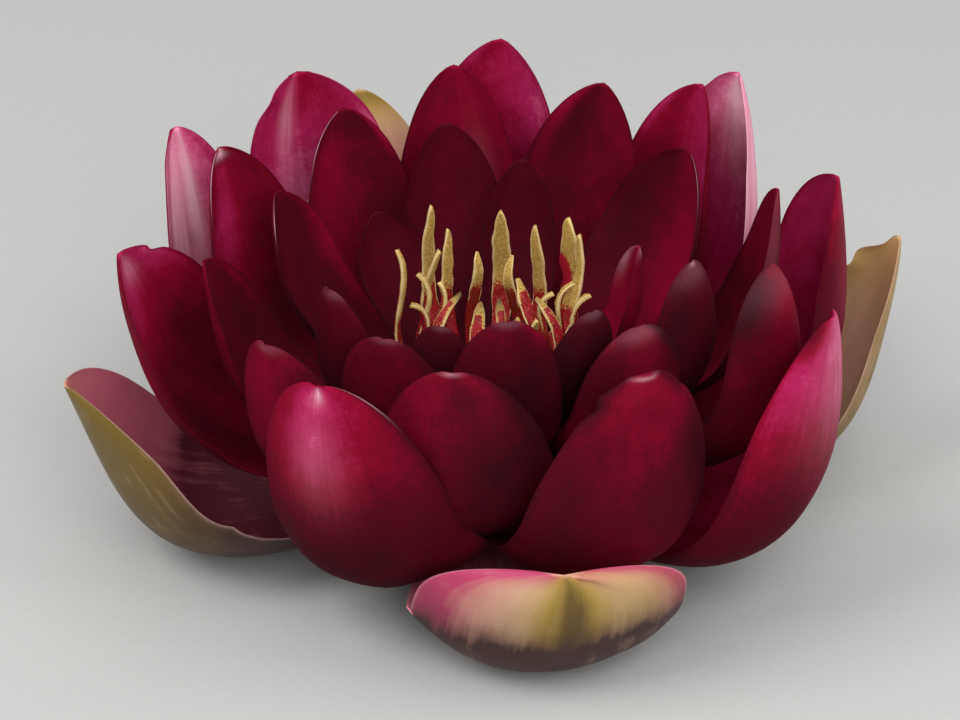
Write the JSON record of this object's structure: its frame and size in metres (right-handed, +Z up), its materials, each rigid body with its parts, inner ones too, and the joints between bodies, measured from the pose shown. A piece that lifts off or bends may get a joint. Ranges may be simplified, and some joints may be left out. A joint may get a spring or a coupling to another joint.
{
  "type": "red water lily flower",
  "caption": "Open water lily bloom with cupped deep red petals, olive sepals and golden stamens round an ovary, cut flat just below the flower.",
  "frame": {"origin": "centre of the flat cut across the stalk, under the middle of the bloom", "axes": "+Z up through the middle of the bloom, -Y towards the side that the picture shows, +X to its right"},
  "size_m": [0.1238, 0.1084, 0.0535],
  "materials": {
    "sepal": "satin, olive outside and pink inside",
    "outer_petal": "satin, waxy, crimson",
    "middle_petal": "satin, waxy, deep red",
    "inner_petal": "satin, velvety, dark burgundy",
    "stamen": "matt, powdery gold on red",
    "ovary": "satin, yellow green"
  },
  "bodies": {
    "root": {"heart_petal_01": "inner_petal", "heart_petal_02": "inner_petal", "heart_petal_03": "inner_petal", "heart_petal_04": "inner_petal", "inner_petal_01": "inner_petal", "inner_petal_02": "inner_petal", "inner_petal_03": "inner_petal", "inner_petal_04": "inner_petal", "inner_petal_05": "inner_petal", "inner_petal_06": "inner_petal", "inner_petal_07": "inner_petal", "inner_petal_08": "inner_petal", "inner_petal_09": "inner_petal", "middle_petal_01": "middle_petal", "middle_petal_02": "middle_petal", "middle_petal_03": "middle_petal", "middle_petal_04": "middle_petal", "middle_petal_05": "middle_petal", "middle_petal_06": "middle_petal", "middle_petal_07": "middle_petal", "middle_petal_08": "middle_petal", "middle_petal_09": "middle_petal", "middle_petal_10": "middle_petal", "outer_petal_01": "outer_petal", "outer_petal_02": "outer_petal", "outer_petal_03": "outer_petal", "outer_petal_04": "outer_petal", "outer_petal_05": "outer_petal", "outer_petal_06": "outer_petal", "outer_petal_07": "outer_petal", "outer_petal_08": "outer_petal", "outer_petal_09": "outer_petal", "ovary_and_stalk": "ovary", "sepal_back": "sepal", "sepal_front": "sepal", "sepal_left": "sepal", "sepal_right": "sepal", "stamen_01": "stamen", "stamen_02": "stamen", "stamen_03": "stamen", "stamen_04": "stamen", "stamen_05": "stamen", "stamen_06": "stamen", "stamen_07": "stamen", "stamen_08": "stamen", "stamen_09": "stamen", "stamen_10": "stamen", "stamen_11": "stamen", "stamen_12": "stamen", "stamen_13": "stamen", "stamen_14": "stamen", "stamen_15": "stamen", "stamen_16": "stamen", "stamen_17": "stamen", "stamen_18": "stamen", "stamen_19": "stamen", "stamen_20": "stamen", "stamen_21": "stamen", "stamen_22": "stamen", "stamen_23": "stamen"}
  },
  "joints": []
}
